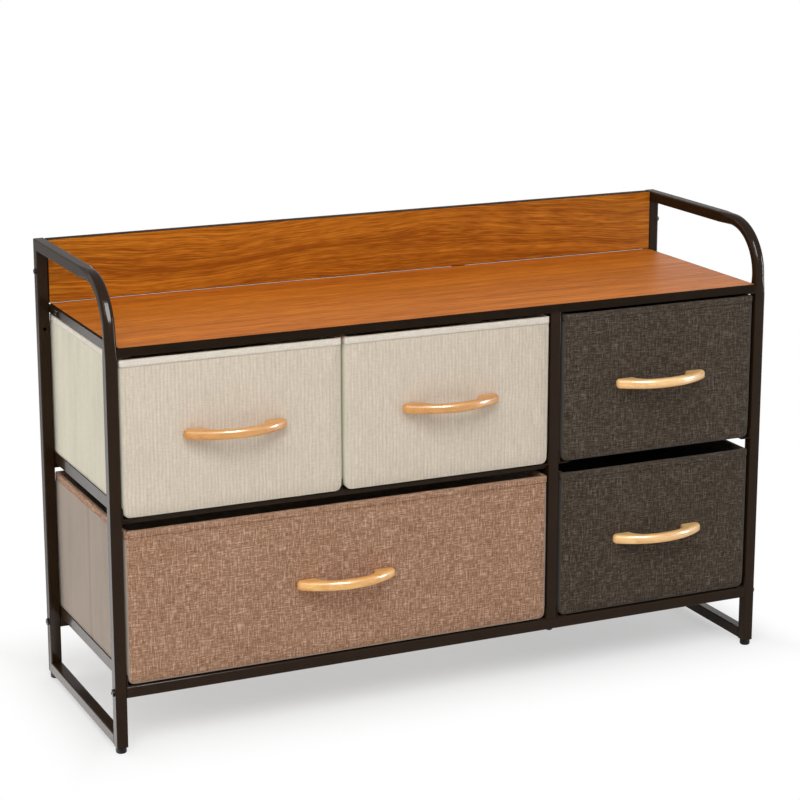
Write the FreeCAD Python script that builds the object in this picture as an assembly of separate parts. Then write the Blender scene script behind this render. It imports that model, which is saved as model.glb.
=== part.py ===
import FreeCAD, Part
import math
import os

# Fabric drawer dresser: a steel tube frame, a wood-grain top and back board, and five fabric drawers.
# Millimetres, +Z up, the front towards -Y, the origin on the floor under the middle of the whole part.

# Overall sizes, from tube face to tube face
overall_width = 1000.0
overall_depth = 320.0
overall_height = 647.0

# Square steel tube, which turns rounder where it is bent
tube_size = 16.0
tube_wall = 1.2
tube_corner = 2.0
bend_corner = 6.0
bend_radius = 72.0
bend_blend = 26.0

# Heights above the floor, and how far the top rails stand above the top board
foot_height = 9.0
lower_bar_bottom = 78.0
rail_rise = 90.4

# Clear width of the wide bay, between the left posts and the middle posts
wide_bay_width = 631.5

# Middle crossbars, flat tubes under the runners; the front one is set back from the posts' front
middle_bar_height = 8.0
middle_bar_depth = 16.0
middle_bar_setback = 8.0

# Angles: drawer runners and the two that carry the top board
angle_thickness = 1.5
runner_leg = 16.0
upper_angle_upright = 11.5

# Boards with their edge bands
board_thickness = 12.0
back_board_gap = 0.3
edge_band = 0.8

# Foot plugs
foot_diameter = 15.0
foot_edge_radius = 2.5
foot_stem_gap = 0.8
foot_stem_length = 13.0

# Bolts, inserts and pins
fit_gap = 0.1
bolt_diameter = 6.0
bolt_head_diameter = 10.0
bolt_head_height = 3.0
bolt_head_round = 1.4
socket_across = 3.6
socket_depth = 1.6
socket_sides = 6
insert_length = 22.0
bolt_end_margin = 3.0
board_bolt_diameter = 5.0
board_bolt_head_diameter = 8.0
board_bolt_depth = 32.0
board_bolt_inset = 52.0
pin_diameter = 6.0
pin_depth = 8.0
vent_diameter = 5.0
vent_drop = 36.6

# Drawers
drawer_side_gap = 1.5
narrow_bay_side_gap = 3.5
centre_side_gap = 2.6
drawer_rest_gap = 0.3
upper_headroom = 3.2
lower_headroom = 8.0
drawer_front_setback = 1.0
drawer_back_gap = 6.0
fabric_thickness = 1.2
fabric_edge_radius = 3.0
lower_corner_radius = 9.0
hem_height = 10.0
hem_thickness = 1.0
stiffener_thickness = 2.5
stiffener_gap = 0.5
fold_gap = 3.0
base_board_thickness = 3.0

# Wooden bow handles
handle_length = 145.0
handle_height = 13.5
handle_reach = 35.0
grip_depth = 11.0
handle_pad_length = 29.0
handle_end_radius = 7.0
handle_flare = 18.0
handle_round = 5.0
grip_round = 3.5
screw_diameter = 4.0
screw_head_diameter = 8.0
screw_head_height = 2.4
screw_depth = 8.0

# One overrun serves every cut, and points closer than the second value are the same point
overrun = 5.0
same_place = 1e-4

# Places that follow from the sizes
x_left = -overall_width / 2
x_right = overall_width / 2
y_front = -(overall_depth - handle_reach + drawer_front_setback) / 2
y_back = y_front + overall_depth
y_frame = (y_front, y_back)
x_left_inner = x_left + tube_size
x_right_inner = x_right - tube_size
y_rear_bar = y_back - tube_size
x_divider_left = x_left_inner + wide_bay_width
x_divider_right = x_divider_left + tube_size
x_divider_middle = (x_divider_left + x_divider_right) / 2
half_tube = tube_size / 2
z_lower_bar_top = lower_bar_bottom + tube_size
board_top = overall_height - rail_rise
z_board_bottom = board_top - board_thickness
z_upper_angle = z_board_bottom - angle_thickness
z_back_board = board_top + back_board_gap
tube_bore = tube_size - 2 * tube_wall
diagonal_share = math.sqrt(2) / 2

# Both rows of drawers are equally high, which sets the level of the middle runners
drawer_seat = angle_thickness + drawer_rest_gap
both_headrooms = upper_headroom + lower_headroom
row_height = (z_upper_angle - z_lower_bar_top - middle_bar_height - both_headrooms) / 2 - drawer_seat
middle_level = z_lower_bar_top + drawer_seat + row_height + lower_headroom + middle_bar_height
z_middle_bar = (middle_level - middle_bar_height, middle_level)


def vector(axis, along, first, second):
    """A point from its place along one axis and its places on the other two, in X, Y, Z order."""
    if axis == "x":
        return FreeCAD.Vector(along, first, second)
    if axis == "y":
        return FreeCAD.Vector(first, along, second)
    return FreeCAD.Vector(first, second, along)


def box(x_low, x_high, y_low, y_high, z_low, z_high):
    corner = FreeCAD.Vector(x_low, y_low, z_low)
    return Part.makeBox(x_high - x_low, y_high - y_low, z_high - z_low, corner)


def line(start, end):
    return Part.LineSegment(start, end).toShape()


def arc(start, middle, end):
    return Part.Arc(start, middle, end).toShape()


def rounded_wire(axis, along, first, second, radius):
    """A rectangle with round corners, square to an axis; first and second are (low, high) pairs."""
    edges = []
    centres = (
        (first[1] - radius, second[0] + radius, 1, -1),
        (first[1] - radius, second[1] - radius, 1, 1),
        (first[0] + radius, second[1] - radius, -1, 1),
        (first[0] + radius, second[0] + radius, -1, -1),
    )
    arcs = []
    for centre_first, centre_second, side_first, side_second in centres:
        on_first = vector(axis, along, centre_first + side_first * radius, centre_second)
        on_second = vector(axis, along, centre_first, centre_second + side_second * radius)
        reach = radius * diagonal_share
        middle = vector(axis, along, centre_first + side_first * reach, centre_second + side_second * reach)
        if side_first == side_second:
            arcs.append((on_first, middle, on_second))
        else:
            arcs.append((on_second, middle, on_first))
    for index, (start, middle, end) in enumerate(arcs):
        edges.append(line(arcs[index - 1][2], start))
        edges.append(arc(start, middle, end))
    return Part.Wire(edges)


def rounded_bar(axis, start, end, first, second, radius):
    face = Part.Face(rounded_wire(axis, start, first, second, radius))
    return face.extrude(vector(axis, end - start, 0, 0))


def tube(axis, start, end, first, second):
    """An open-ended tube between two places along an axis."""
    outer = rounded_bar(axis, start, end, first, second, tube_corner)
    inner_first = (first[0] + tube_wall, first[1] - tube_wall)
    inner_second = (second[0] + tube_wall, second[1] - tube_wall)
    inner_radius = tube_corner - tube_wall
    inner = rounded_bar(axis, start, end, inner_first, inner_second, inner_radius)
    return outer.cut(inner)


def rod(axis, start, end, first, second, diameter):
    direction = vector(axis, end - start, 0, 0)
    return Part.makeCylinder(diameter / 2, direction.Length, vector(axis, start, first, second), direction)


def socket(axis, top, side, first, second):
    """The hexagon that is cut into a bolt's head for its key."""
    turn = math.tau / socket_sides
    radius = socket_across / 2 / math.cos(turn / 2)
    corners = []
    for index in range(socket_sides):
        along_first = first + radius * math.cos(index * turn)
        along_second = second + radius * math.sin(index * turn)
        corners.append(vector(axis, top, along_first, along_second))
    face = Part.Face(Part.makePolygon(corners + corners[:1]))
    return face.extrude(vector(axis, -side * socket_depth, 0, 0))


def domed_bolt(axis, face, side, first, second, head, shank):
    """A bolt whose head stands on a face; side is +1 or -1, where the head points along the axis."""
    head_diameter, head_height = head
    shank_diameter, shank_length = shank
    top = face + side * head_height
    cap = rod(axis, face, top, first, second, head_diameter)
    rim = [edge for edge in cap.Edges if abs(edge_place(edge, axis) - top) < same_place]
    cap = cap.makeFillet(min(bolt_head_round, head_height / 2), rim)
    cap = cap.cut(socket(axis, top, side, first, second))
    return cap.fuse(rod(axis, face, face - side * shank_length, first, second, shank_diameter))


def edge_place(edge, axis):
    middle = edge.BoundBox.Center
    return {"x": middle.x, "y": middle.y, "z": middle.z}[axis]


def wedge(x_low, x_high, corners):
    """A prism along X over a corner list of (y, z) points."""
    points = [FreeCAD.Vector(x_low, y, z) for y, z in corners]
    face = Part.Face(Part.makePolygon(points + points[:1]))
    return face.extrude(FreeCAD.Vector(x_high - x_low, 0, 0))


def save(name, shape):
    shape.exportStep("parts/" + name + ".step")


def group(solids):
    return Part.makeCompound(solids)


# End frames

def bent_section(x_low, inset, corner):
    """Outer or inner solid of the front post, the bend and the top rail, up to the back face."""
    x_span = (x_low + inset, x_low + tube_size - inset)
    y_span = (y_front + inset, y_front + tube_size - inset)
    z_span = (overall_height - tube_size + inset, overall_height - inset)
    bend_z = overall_height - half_tube - bend_radius
    bend_y = y_front + half_tube + bend_radius
    straight_corner, round_corner = corner
    post = rounded_bar("z", foot_height, bend_z - bend_blend, x_span, y_span, straight_corner)
    post_blend = Part.makeLoft(
        [
            rounded_wire("z", bend_z - bend_blend, x_span, y_span, straight_corner),
            rounded_wire("z", bend_z, x_span, y_span, round_corner),
        ],
        True,
        True,
    )
    section = Part.Face(rounded_wire("z", bend_z, x_span, y_span, round_corner))
    bend = section.revolve(FreeCAD.Vector(x_low, bend_y, bend_z), FreeCAD.Vector(-1, 0, 0), 90)
    rail_blend = Part.makeLoft(
        [
            rounded_wire("y", bend_y, x_span, z_span, round_corner),
            rounded_wire("y", bend_y + bend_blend, x_span, z_span, straight_corner),
        ],
        True,
        True,
    )
    rail = rounded_bar("y", bend_y + bend_blend, y_back, x_span, z_span, straight_corner)
    return post.fuse([post_blend, bend, rail_blend, rail]).removeSplitter()


def end_bolt_holes(x_low, y_middle, places):
    """Clearance holes right through a post at the given heights, each with its bolt's diameter."""
    holes = []
    for height, diameter in places:
        hole = rod("x", x_low - overrun, x_low + tube_size + overrun, y_middle, height, diameter + 2 * fit_gap)
        holes.append(hole)
    return holes


z_lower_bolt = lower_bar_bottom + half_tube
z_back_bolt = (z_back_board + overall_height) / 2
y_back_board = (y_rear_bar, y_rear_bar + board_thickness)
y_back_bolt = sum(y_back_board) / 2
y_front_middle = y_front + half_tube
y_rear_middle = y_back - half_tube


def bent_tube(x_low):
    outer = bent_section(x_low, 0, (tube_corner, bend_corner))
    inner = bent_section(x_low, tube_wall, (tube_corner - tube_wall, bend_corner - tube_wall))
    mitre = wedge(
        x_low - overrun,
        x_low + tube_size + overrun,
        [
            (y_back + overrun, overall_height + overrun),
            (y_rear_bar - overrun, overall_height - tube_size - overrun),
            (y_back + overrun, overall_height - tube_size - overrun),
        ],
    )
    holes = end_bolt_holes(x_low, y_front_middle, [(z_lower_bolt, bolt_diameter)])
    return outer.cut([inner, mitre] + holes)


def rear_post(x_low):
    x_span = (x_low, x_low + tube_size)
    post = tube("z", foot_height, overall_height, x_span, (y_rear_bar, y_back))
    top_mitre = wedge(
        x_low - overrun,
        x_low + tube_size + overrun,
        [
            (y_back + overrun, overall_height + overrun),
            (y_rear_bar - overrun, overall_height - tube_size - overrun),
            (y_rear_bar - overrun, overall_height + overrun),
        ],
    )
    bottom_mitre = wedge(
        x_low - overrun,
        x_low + tube_size + overrun,
        [
            (y_back + overrun, foot_height - overrun),
            (y_rear_bar - overrun, foot_height + tube_size + overrun),
            (y_rear_bar - overrun, foot_height - overrun),
        ],
    )
    holes = end_bolt_holes(x_low, y_rear_middle, [(z_lower_bolt, bolt_diameter)])
    holes += end_bolt_holes(x_low, y_back_bolt, [(z_back_bolt, board_bolt_diameter)])
    z_vent = board_top - vent_drop
    vent = rod("y", y_rear_bar - overrun, y_rear_middle, x_low + half_tube, z_vent, vent_diameter)
    return post.cut([top_mitre, bottom_mitre, vent] + holes)


foot_stem_diameter = tube_bore - 2 * foot_stem_gap


def foot_rail(x_low):
    x_span = (x_low, x_low + tube_size)
    z_span = (foot_height, foot_height + tube_size)
    rail = tube("y", y_front + tube_size, y_back, x_span, z_span)
    mitre = wedge(
        x_low - overrun,
        x_low + tube_size + overrun,
        [
            (y_back + overrun, foot_height - overrun),
            (y_rear_bar - overrun, foot_height + tube_size + overrun),
            (y_back + overrun, foot_height + tube_size + overrun),
        ],
    )
    stem_hole = rod(
        "z",
        foot_height - overrun,
        foot_height + half_tube,
        x_low + half_tube,
        y_rear_middle,
        foot_stem_diameter + 2 * fit_gap,
    )
    return rail.cut([mitre, stem_hole])


def foot_plug(x_middle, y_middle):
    foot = rod("z", 0, foot_height, x_middle, y_middle, foot_diameter)
    rim = [edge for edge in foot.Edges if abs(edge_place(edge, "z")) < same_place]
    foot = foot.makeFillet(foot_edge_radius, rim)
    stem = rod("z", foot_height, foot_height + foot_stem_length, x_middle, y_middle, foot_stem_diameter)
    return foot.fuse(stem)


def angle(x_face, inward, y_span, z_low, legs):
    """An angle along Y: its upright lies on x_face, its other leg points inward at the bottom."""
    upright, shelf = legs
    outline = [
        (x_face, z_low),
        (x_face + inward * shelf, z_low),
        (x_face + inward * shelf, z_low + angle_thickness),
        (x_face + inward * angle_thickness, z_low + angle_thickness),
        (x_face + inward * angle_thickness, z_low + upright),
        (x_face, z_low + upright),
    ]
    points = [FreeCAD.Vector(x, y_span[0], z) for x, z in outline]
    face = Part.Face(Part.makePolygon(points + points[:1]))
    return face.extrude(FreeCAD.Vector(0, y_span[1] - y_span[0], 0))


z_board_bolt = board_top - board_thickness / 2
board_bolt_places = (y_front + board_bolt_inset, y_back - board_bolt_inset)


def upper_angle(x_face, inward):
    legs = (upper_angle_upright, runner_leg)
    bar = angle(x_face, inward, y_frame, z_upper_angle, legs)
    holes = []
    for y_bolt in board_bolt_places:
        span = (x_face - inward * overrun, x_face + inward * overrun)
        holes.append(rod("x", span[0], span[1], y_bolt, z_board_bolt, board_bolt_diameter + 2 * fit_gap))
    return bar.cut(holes)


def build_end_frames():
    sides = (
        ("left", x_left, x_left_inner, 1),
        ("right", x_right_inner, x_right_inner, -1),
    )
    runner_legs = (runner_leg, runner_leg)
    for side, x_low, x_face, inward in sides:
        save(side + "_bent_tube", bent_tube(x_low))
        save(side + "_rear_post", rear_post(x_low))
        save(side + "_foot_rail", foot_rail(x_low))
        save(side + "_upper_angle", upper_angle(x_face, inward))
        save(side + "_middle_runner", angle(x_face, inward, y_frame, middle_level, runner_legs))
        save(side + "_lower_runner", angle(x_face, inward, y_frame, z_lower_bar_top, runner_legs))
    plugs = []
    for x_middle in (x_left + half_tube, x_right - half_tube):
        for y_middle in (y_front_middle, y_rear_middle):
            plugs.append(foot_plug(x_middle, y_middle))
    save("foot_plugs", group(plugs))


# Crossbars, middle posts and the runners on them

def lower_crossbar(y_low):
    y_middle = y_low + half_tube
    bar = tube("x", x_left_inner, x_right_inner, (y_low, y_low + tube_size), (lower_bar_bottom, z_lower_bar_top))
    hole = rod(
        "z",
        lower_bar_bottom - overrun,
        z_lower_bar_top + overrun,
        x_divider_middle,
        y_middle,
        bolt_diameter + 2 * fit_gap,
    )
    return bar.cut(hole)


def middle_post(y_low, z_top):
    return tube("z", z_lower_bar_top, z_top, (x_divider_left, x_divider_right), (y_low, y_low + tube_size))


def rear_middle_post():
    post = middle_post(y_rear_bar, board_top)
    hole = rod(
        "y",
        y_rear_bar - overrun,
        y_rear_middle,
        x_divider_middle,
        z_board_bolt,
        pin_diameter + 2 * fit_gap,
    )
    return post.cut(hole)


def rear_middle_crossbar(x_low, x_high):
    return tube("x", x_low, x_high, (y_back - middle_bar_depth, y_back), z_middle_bar)


y_middle_bar = y_front + middle_bar_setback
x_centre_runner = (x_left_inner + x_divider_left) / 2


def front_middle_crossbar():
    y_span = (y_middle_bar, y_middle_bar + middle_bar_depth)
    return tube("x", x_left_inner, x_divider_left, y_span, z_middle_bar)


def centre_runner():
    """A T-shaped runner: the shelf carries both neighbours, the fin keeps them apart."""
    shelf = box(
        x_centre_runner - runner_leg,
        x_centre_runner + runner_leg,
        y_middle_bar,
        y_back,
        middle_level,
        middle_level + angle_thickness,
    )
    fin = box(
        x_centre_runner - angle_thickness / 2,
        x_centre_runner + angle_thickness / 2,
        y_middle_bar,
        y_back,
        middle_level,
        middle_level + runner_leg,
    )
    return shelf.fuse(fin).removeSplitter()


def build_middle():
    save("front_lower_crossbar", lower_crossbar(y_front))
    save("rear_lower_crossbar", lower_crossbar(y_rear_bar))
    save("front_middle_crossbar", front_middle_crossbar())
    save("rear_middle_crossbar_left", rear_middle_crossbar(x_left_inner, x_divider_left))
    save("rear_middle_crossbar_right", rear_middle_crossbar(x_divider_right, x_right_inner))
    save("front_middle_post", middle_post(y_front, z_board_bottom))
    save("rear_middle_post", rear_middle_post())
    save("centre_runner", centre_runner())
    faces = (("left", x_divider_left, -1), ("right", x_divider_right, 1))
    legs = (runner_leg, runner_leg)
    for side, x_face, inward in faces:
        middle = angle(x_face, inward, y_frame, middle_level, legs)
        lower = angle(x_face, inward, y_frame, z_lower_bar_top, legs)
        save("divider_middle_runner_" + side, middle)
        save("divider_lower_runner_" + side, lower)


# Boards

x_top_board = (x_left_inner + angle_thickness, x_right_inner - angle_thickness)
y_top_board = (y_front, y_rear_bar)


def banded_board(x_span, y_span, z_span, holes, flat_axis):
    """A board core and the band round its four edges; flat_axis is square to the board's faces."""
    whole = box(x_span[0], x_span[1], y_span[0], y_span[1], z_span[0], z_span[1])
    core_spans = []
    for axis, span in (("x", x_span), ("y", y_span), ("z", z_span)):
        inset = 0 if axis == flat_axis else edge_band
        core_spans += [span[0] + inset, span[1] - inset]
    core = box(*core_spans)
    return core.cut(holes), whole.cut([core] + holes)


def build_boards():
    hole_diameter = board_bolt_diameter + 2 * fit_gap
    top_holes = []
    for x_edge, inward in ((x_top_board[0], 1), (x_top_board[1], -1)):
        span = (x_edge - inward * overrun, x_edge + inward * (board_bolt_depth + fit_gap))
        for y_bolt in board_bolt_places:
            top_holes.append(rod("x", span[0], span[1], y_bolt, z_board_bolt, hole_diameter))
    pin_hole = pin_diameter + 2 * fit_gap
    front_pin_top = z_board_bottom + pin_depth + fit_gap
    rear_pin_end = y_rear_bar - pin_depth - fit_gap
    top_holes.append(
        rod("z", z_board_bottom - overrun, front_pin_top, x_divider_middle, y_front_middle, pin_hole)
    )
    top_holes.append(
        rod("y", y_rear_bar + overrun, rear_pin_end, x_divider_middle, z_board_bolt, pin_hole)
    )
    board, band = banded_board(x_top_board, y_top_board, (z_board_bottom, board_top), top_holes, "z")
    save("top_board", board)
    save("top_board_edging", band)
    back_holes = []
    for x_edge, inward in ((x_left_inner, 1), (x_right_inner, -1)):
        span = (x_edge - inward * overrun, x_edge + inward * (board_bolt_depth + fit_gap))
        back_holes.append(rod("x", span[0], span[1], y_back_bolt, z_back_bolt, hole_diameter))
    x_span = (x_left_inner, x_right_inner)
    board, band = banded_board(x_span, y_back_board, (z_back_board, overall_height), back_holes, "y")
    save("back_board", board)
    save("back_board_edging", band)


# Bolts, inserts and pins

insert_size = tube_bore - 2 * fit_gap


def tube_insert(axis, start, end, first, second):
    """A square plug in a tube's end, threaded along its middle for a bolt or a pin."""
    half = insert_size / 2
    plug = rounded_bar(
        axis, start, end, (first - half, first + half), (second - half, second + half), tube_corner - tube_wall
    )
    thread = rod(axis, start, end, first, second, bolt_diameter + 2 * fit_gap)
    return plug.cut(thread)


def build_fasteners():
    head = (bolt_head_diameter, bolt_head_height)
    crossbar_shank = (bolt_diameter, tube_size + insert_length - bolt_end_margin)
    bolts = []
    inserts = []
    for x_face, x_end, side in ((x_left, x_left_inner, -1), (x_right, x_right_inner, 1)):
        for y_middle in (y_front_middle, y_rear_middle):
            bolts.append(domed_bolt("x", x_face, side, y_middle, z_lower_bolt, head, crossbar_shank))
            low = min(x_end, x_end - side * insert_length)
            inserts.append(tube_insert("x", low, low + insert_length, y_middle, z_lower_bolt))
    for y_middle in (y_front_middle, y_rear_middle):
        bolts.append(domed_bolt("z", lower_bar_bottom, -1, x_divider_middle, y_middle, head, crossbar_shank))
        z_end = z_lower_bar_top + insert_length
        inserts.append(tube_insert("z", z_lower_bar_top, z_end, x_divider_middle, y_middle))
    top_insert = (z_board_bottom - insert_length, z_board_bottom)
    inserts.append(tube_insert("z", top_insert[0], top_insert[1], x_divider_middle, y_front_middle))
    save("frame_bolts", group(bolts))
    save("tube_inserts", group(inserts))

    board_head = (board_bolt_head_diameter, bolt_head_height)
    board_bolts = []
    for x_face, side in ((x_left_inner, -1), (x_right_inner, 1)):
        top_shank = (board_bolt_diameter, angle_thickness + board_bolt_depth)
        for y_bolt in board_bolt_places:
            board_bolts.append(domed_bolt("x", x_face, side, y_bolt, z_board_bolt, board_head, top_shank))
    for x_face, side in ((x_left, -1), (x_right, 1)):
        back_shank = (board_bolt_diameter, tube_size + board_bolt_depth)
        board_bolts.append(domed_bolt("x", x_face, side, y_back_bolt, z_back_bolt, board_head, back_shank))
    save("board_bolts", group(board_bolts))

    front_pin = rod(
        "z", top_insert[0], z_board_bottom + pin_depth, x_divider_middle, y_front_middle, pin_diameter
    )
    rear_pin = rod("y", y_rear_bar - pin_depth, y_rear_middle, x_divider_middle, z_board_bolt, pin_diameter)
    save("post_pins", group([front_pin, rear_pin]))


# Drawers

y_drawer = (y_front + drawer_front_setback, y_back - drawer_back_gap)


def soft_block(x_span, y_span, z_span, lower_corner, edge_radius):
    """A block with round lower corners in its front view and soft edges round its front and back."""
    x_low, x_high = x_span
    z_low, z_high = z_span
    y_low = y_span[0]
    reach = lower_corner * (1 - diagonal_share)

    def point(x, z):
        return FreeCAD.Vector(x, y_low, z)

    edges = [
        line(point(x_low, z_high), point(x_low, z_low + lower_corner)),
        arc(
            point(x_low, z_low + lower_corner),
            point(x_low + reach, z_low + reach),
            point(x_low + lower_corner, z_low),
        ),
        line(point(x_low + lower_corner, z_low), point(x_high - lower_corner, z_low)),
        arc(
            point(x_high - lower_corner, z_low),
            point(x_high - reach, z_low + reach),
            point(x_high, z_low + lower_corner),
        ),
        line(point(x_high, z_low + lower_corner), point(x_high, z_high)),
        line(point(x_high, z_high), point(x_low, z_high)),
    ]
    block = Part.Face(Part.Wire(edges)).extrude(FreeCAD.Vector(0, y_span[1] - y_low, 0))
    soft_edges = []
    for edge in block.Edges:
        bounds = edge.BoundBox
        in_face = bounds.YLength < same_place
        on_top = bounds.ZMin > z_high - same_place
        if in_face and not on_top:
            soft_edges.append(edge)
    return block.makeFillet(edge_radius, soft_edges)


def grown(span, amount):
    return (span[0] - amount, span[1] + amount)


def screw_places(x_span, z_span):
    x_middle = sum(x_span) / 2
    spacing = handle_length - handle_pad_length
    return [(x_middle + side * spacing / 2, sum(z_span) / 2) for side in (-1, 1)]


def screw_holes(x_span, z_span, y_start, y_end):
    holes = []
    for x, z in screw_places(x_span, z_span):
        holes.append(rod("y", y_start, y_end, x, z, screw_diameter + 2 * fit_gap))
    return holes


def fabric_sleeve(x_span, z_span):
    """The sewn fabric box, open at the top, with its folded hem round the rim."""
    outer = soft_block(x_span, y_drawer, z_span, lower_corner_radius, fabric_edge_radius)
    inner = soft_block(
        grown(x_span, -fabric_thickness),
        grown(y_drawer, -fabric_thickness),
        (z_span[0] + fabric_thickness, z_span[1] + overrun),
        lower_corner_radius - fabric_thickness,
        fabric_edge_radius - fabric_thickness,
    )
    rim = rounded_bar(
        "z",
        z_span[1] - hem_height,
        z_span[1],
        grown(x_span, hem_thickness),
        grown(y_drawer, hem_thickness),
        fabric_edge_radius + hem_thickness,
    )
    holes = screw_holes(x_span, z_span, y_drawer[0] - overrun, y_drawer[0] + overrun)
    return outer.fuse(rim).cut([inner] + holes)


def stiffeners(x_span, z_span):
    """Stiff boards against the inside of the fabric: front, back and two halves on each side."""
    z_low = z_span[0] + lower_corner_radius
    z_high = z_span[1] - fabric_thickness
    x_low, x_high = grown(x_span, -fabric_edge_radius)
    y_low, y_high = grown(y_drawer, -fabric_thickness)
    front = box(x_low, x_high, y_low, y_low + stiffener_thickness, z_low, z_high)
    front = front.cut(screw_holes(x_span, z_span, y_low - overrun, y_low + overrun))
    back = box(x_low, x_high, y_high - stiffener_thickness, y_high, z_low, z_high)
    boards = [front, back]
    y_fold = sum(y_drawer) / 2
    side_low, side_high = grown((y_low, y_high), -stiffener_thickness - stiffener_gap)
    for x_wall, inward in ((x_span[0] + fabric_thickness, 1), (x_span[1] - fabric_thickness, -1)):
        x_pair = sorted((x_wall, x_wall + inward * stiffener_thickness))
        boards.append(box(x_pair[0], x_pair[1], side_low, y_fold - fold_gap / 2, z_low, z_high))
        boards.append(box(x_pair[0], x_pair[1], y_fold + fold_gap / 2, side_high, z_low, z_high))
    return group(boards)


def base_board(x_span, z_span):
    z_low = z_span[0] + fabric_thickness
    x_low, x_high = grown(x_span, -lower_corner_radius)
    y_low, y_high = grown(y_drawer, -fabric_thickness - stiffener_thickness - stiffener_gap)
    return box(x_low, x_high, y_low, y_high, z_low, z_low + base_board_thickness)


def handle_outline(x_middle, z_low):
    """The bow seen from above: two flat pads, round ends, and a grip that runs into the pads in arcs."""
    half = handle_length / 2
    pad_inner = half - handle_pad_length
    end_x = half - handle_end_radius
    rise = handle_reach - handle_end_radius
    bow_radius = (end_x ** 2 + rise ** 2 - handle_end_radius ** 2) / (2 * (rise - handle_end_radius))
    bow_centre = handle_reach - bow_radius
    grip_radius = bow_radius - grip_depth
    tangent_share = bow_radius / (bow_radius - handle_end_radius)
    tangent_x = end_x * tangent_share
    tangent_y = bow_centre + (handle_end_radius - bow_centre) * tangent_share
    flare_x = pad_inner - handle_flare
    flare_y = bow_centre + math.sqrt(grip_radius ** 2 - flare_x ** 2)
    # Each flare is an arc that starts along the grip's inner arc and ends at the pad
    outward = FreeCAD.Vector(flare_x, flare_y - bow_centre).normalize()
    pad_corner = FreeCAD.Vector(pad_inner, -bow_centre)
    along = outward.dot(pad_corner)
    spread = grip_radius ** 2 + pad_corner.Length ** 2 - 2 * grip_radius * along
    flare_radius = spread / (2 * (grip_radius - along))
    flare_centre = outward * (grip_radius - flare_radius)
    bisector = (outward + (pad_corner - flare_centre).normalize()).normalize()
    flare_middle = flare_centre + bisector * flare_radius
    middle_x = flare_middle.x
    middle_y = flare_middle.y + bow_centre

    def point(x, out):
        return FreeCAD.Vector(x_middle + x, y_drawer[0] - out, z_low)

    return Part.Wire(
        [
            line(point(pad_inner, 0), point(end_x, 0)),
            arc(point(end_x, 0), point(half, handle_end_radius), point(tangent_x, tangent_y)),
            arc(point(tangent_x, tangent_y), point(0, handle_reach), point(-tangent_x, tangent_y)),
            arc(point(-tangent_x, tangent_y), point(-half, handle_end_radius), point(-end_x, 0)),
            line(point(-end_x, 0), point(-pad_inner, 0)),
            arc(point(-pad_inner, 0), point(-middle_x, middle_y), point(-flare_x, flare_y)),
            arc(point(-flare_x, flare_y), point(0, handle_reach - grip_depth), point(flare_x, flare_y)),
            arc(point(flare_x, flare_y), point(middle_x, middle_y), point(pad_inner, 0)),
        ]
    )


def same_edge(edge, others):
    middle = edge.CenterOfGravity
    return any((middle - other.CenterOfGravity).Length < same_place for other in others)


def handle(x_span, z_span):
    x_middle = sum(x_span) / 2
    z_low = sum(z_span) / 2 - handle_height / 2
    face = Part.Face(handle_outline(x_middle, z_low))
    bow = face.extrude(FreeCAD.Vector(0, 0, handle_height))
    outer_edges = []
    inner_edges = []
    x_pad_inner = handle_length / 2 - handle_pad_length
    for edge in bow.Edges:
        bounds = edge.BoundBox
        flat = bounds.ZLength < same_place
        curved = bounds.YLength > same_place
        x_far = max(bounds.XMax - x_middle, x_middle - bounds.XMin)
        if flat and curved and x_far > x_pad_inner + same_place:
            outer_edges.append(edge)
        elif flat and curved:
            inner_edges.append(edge)
    bow = bow.makeFillet(handle_round, outer_edges)
    bow = bow.makeFillet(grip_round, [match for match in bow.Edges if same_edge(match, inner_edges)])
    return bow.cut(screw_holes(x_span, z_span, y_drawer[0] + overrun, y_drawer[0] - screw_depth - fit_gap))


def handle_screws(x_span, z_span):
    y_head = y_drawer[0] + fabric_thickness + stiffener_thickness
    head = (screw_head_diameter, screw_head_height)
    shank = (screw_diameter, fabric_thickness + stiffener_thickness + screw_depth)
    screws = []
    for x, z in screw_places(x_span, z_span):
        screws.append(domed_bolt("y", y_head, 1, x, z, head, shank))
    return group(screws)


def drawer_places():
    """Name, X span and Z span of each drawer, from the runners beside it and what is over it."""
    lower_floor = z_lower_bar_top + drawer_seat
    upper_floor = middle_level + drawer_seat
    lower = (lower_floor, lower_floor + row_height)
    upper = (upper_floor, upper_floor + row_height)
    wide_bay = grown((x_left_inner, x_divider_left), -angle_thickness - drawer_side_gap)
    narrow_bay = grown((x_divider_right, x_right_inner), -angle_thickness - narrow_bay_side_gap)
    beside_fin = angle_thickness / 2 + centre_side_gap
    return (
        ("upper_left", (wide_bay[0], x_centre_runner - beside_fin), upper),
        ("upper_middle", (x_centre_runner + beside_fin, wide_bay[1]), upper),
        ("upper_right", narrow_bay, upper),
        ("lower_wide", wide_bay, lower),
        ("lower_right", narrow_bay, lower),
    )


def build_drawers():
    for name, x_span, z_span in drawer_places():
        save(name + "_sleeve", fabric_sleeve(x_span, z_span))
        save(name + "_stiffeners", stiffeners(x_span, z_span))
        save(name + "_base_board", base_board(x_span, z_span))
        save(name + "_handle", handle(x_span, z_span))
        save(name + "_handle_screws", handle_screws(x_span, z_span))


os.makedirs("parts", exist_ok=True)
build_end_frames()
build_middle()
build_boards()
build_fasteners()
build_drawers()
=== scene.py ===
"""Looks for the fabric drawer dresser: finishes for its frame and boards, and five sewn drawers."""

import math

import bmesh
import bpy
from bpy.props import FloatProperty, FloatVectorProperty, PointerProperty
from mathutils import Matrix, Vector, noise


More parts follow.
